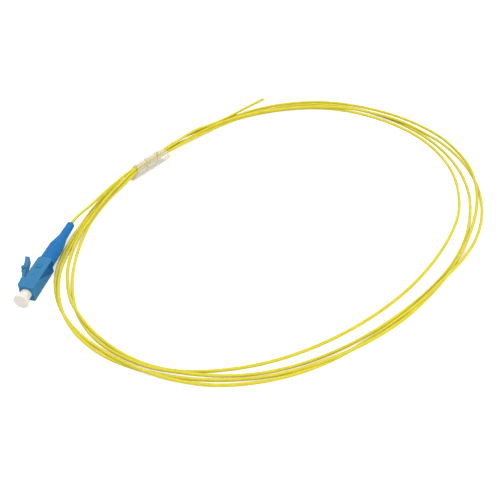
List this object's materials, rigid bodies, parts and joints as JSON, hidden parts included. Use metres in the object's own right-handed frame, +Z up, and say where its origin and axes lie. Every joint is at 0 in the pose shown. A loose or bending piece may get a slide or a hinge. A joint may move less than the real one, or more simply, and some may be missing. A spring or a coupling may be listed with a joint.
{
  "type": "fibre pigtail",
  "caption": "Fibre pigtail: a blue square plug with a latch arm, round boot and pale dust cap, on a thin yellow cord wound in a flat oval coil held by a spiral tie.",
  "frame": {"origin": "under the plug's axis at the middle of the housing's length, on the surface that the part lies on", "axes": "+X along the plug's axis towards its nose, -Y the way the latch arm points, +Z up from the surface"},
  "size_m": [0.1402, 0.1228, 0.0045],
  "materials": {
    "blue_housing": "satin moulded PBT",
    "blue_boot": "satin soft elastomer",
    "translucent_cap": "satin natural polyethylene",
    "yellow_buffer": "satin extruded jacket",
    "clear_tie": "satin natural polyethylene",
    "zirconia": "polished",
    "flange_metal": "turned, nickel plated",
    "spring_steel": "drawn wire",
    "liner_plastic": "satin",
    "fibre_glass": "drawn glass"
  },
  "bodies": {
    "plug": {"housing": "blue_housing", "rear_body": "blue_housing", "liner_tube": "liner_plastic", "boot": "blue_boot", "spring": "spring_steel", "inner_buffer": "yellow_buffer", "cord_lead": "yellow_buffer", "cord_coil": "yellow_buffer", "cord_tail": "yellow_buffer", "coil_tie": "clear_tie"},
    "latch": {"latch_arm": "blue_housing"},
    "ferrule": {"ferrule": "zirconia", "ferrule_flange": "flange_metal", "stripped_fibre": "fibre_glass"},
    "cap": {"dust_cap": "translucent_cap"}
  },
  "joints": [
    {"name": "latch_press", "type": "hinge", "parent": "plug", "child": "latch", "pos_m": [0.00145, -0.00295, 0.00225], "axis": [0, 0, -1], "range_deg": [0, 16], "stiffness_Nm_per_rad": 0.1},
    {"name": "ferrule_push", "type": "slide", "parent": "plug", "child": "ferrule", "axis": [-1, 0, 0], "range_m": [0, 0.001], "stiffness_N_per_m": 2200, "deforming": ["spring", "inner_buffer"]},
    {"name": "cap_pull", "type": "slide", "parent": "plug", "child": "cap", "axis": [1, 0, 0], "range_m": [0, 0.01]}
  ]
}
